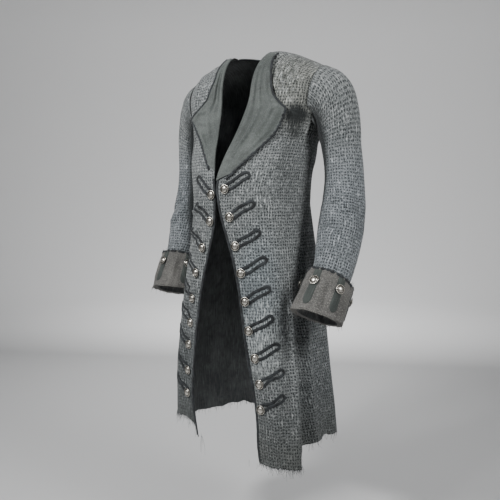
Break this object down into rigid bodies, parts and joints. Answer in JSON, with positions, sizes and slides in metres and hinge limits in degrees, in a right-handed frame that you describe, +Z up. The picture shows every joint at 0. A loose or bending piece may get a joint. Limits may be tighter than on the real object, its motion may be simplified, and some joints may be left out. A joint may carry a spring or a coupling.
{
  "type": "frock coat",
  "caption": "knee-length frock coat standing open as worn: broad lapels, slanting braid button loops, domed metal buttons and wide turned-back cuffs",
  "frame": {"origin": "middle of the neck opening, on the line through the two side-neck points, where the coat hangs on the wearer's neck and shoulders", "axes": "+Z up along the standing coat; -Y the way the wearer faces; +X towards the wearer's left"},
  "size_m": [0.7469, 0.4153, 1.2512],
  "materials": {
    "shell_cloth": "small dotted basket weave in grey-green wool, worn and matt",
    "facing_cloth": "smooth grey-green facing with a soft sheen",
    "cuff_cloth": "coarse plain cloth, taupe-grey and matt",
    "braid": "flat charcoal braid, frayed in places",
    "button_metal": "antique silver-coloured metal, dulled in its hollows"
  },
  "bodies": {
    "root": {"back_left": "shell_cloth", "back_right": "shell_cloth", "button_left_1": "button_metal", "button_left_2": "button_metal", "button_left_3": "button_metal", "button_left_4": "button_metal", "button_left_5": "button_metal", "button_left_6": "button_metal", "button_left_7": "button_metal", "button_left_8": "button_metal", "button_left_9": "button_metal", "button_right_1": "button_metal", "button_right_2": "button_metal", "button_right_3": "button_metal", "button_right_4": "button_metal", "button_right_5": "button_metal", "button_right_6": "button_metal", "button_right_7": "button_metal", "button_right_8": "button_metal", "button_right_9": "button_metal", "cuff_button_left_1": "button_metal", "cuff_button_left_2": "button_metal", "cuff_button_left_3": "button_metal", "cuff_button_left_4": "button_metal", "cuff_button_right_1": "button_metal", "cuff_button_right_2": "button_metal", "cuff_button_right_3": "button_metal", "cuff_button_right_4": "button_metal", "cuff_left": "cuff_cloth", "cuff_right": "cuff_cloth", "front_left": "shell_cloth", "front_right": "shell_cloth", "lapel_left": "facing_cloth", "lapel_right": "facing_cloth", "loop_left_1": "braid", "loop_left_2": "braid", "loop_left_3": "braid", "loop_left_4": "braid", "loop_left_5": "braid", "loop_left_6": "braid", "loop_left_7": "braid", "loop_left_8": "braid", "loop_left_9": "braid", "loop_right_1": "braid", "loop_right_2": "braid", "loop_right_3": "braid", "loop_right_4": "braid", "loop_right_5": "braid", "loop_right_6": "braid", "loop_right_7": "braid", "loop_right_8": "braid", "loop_right_9": "braid", "sleeve_under_left": "shell_cloth", "sleeve_under_right": "shell_cloth", "sleeve_upper_left": "shell_cloth", "sleeve_upper_right": "shell_cloth"}
  },
  "joints": []
}
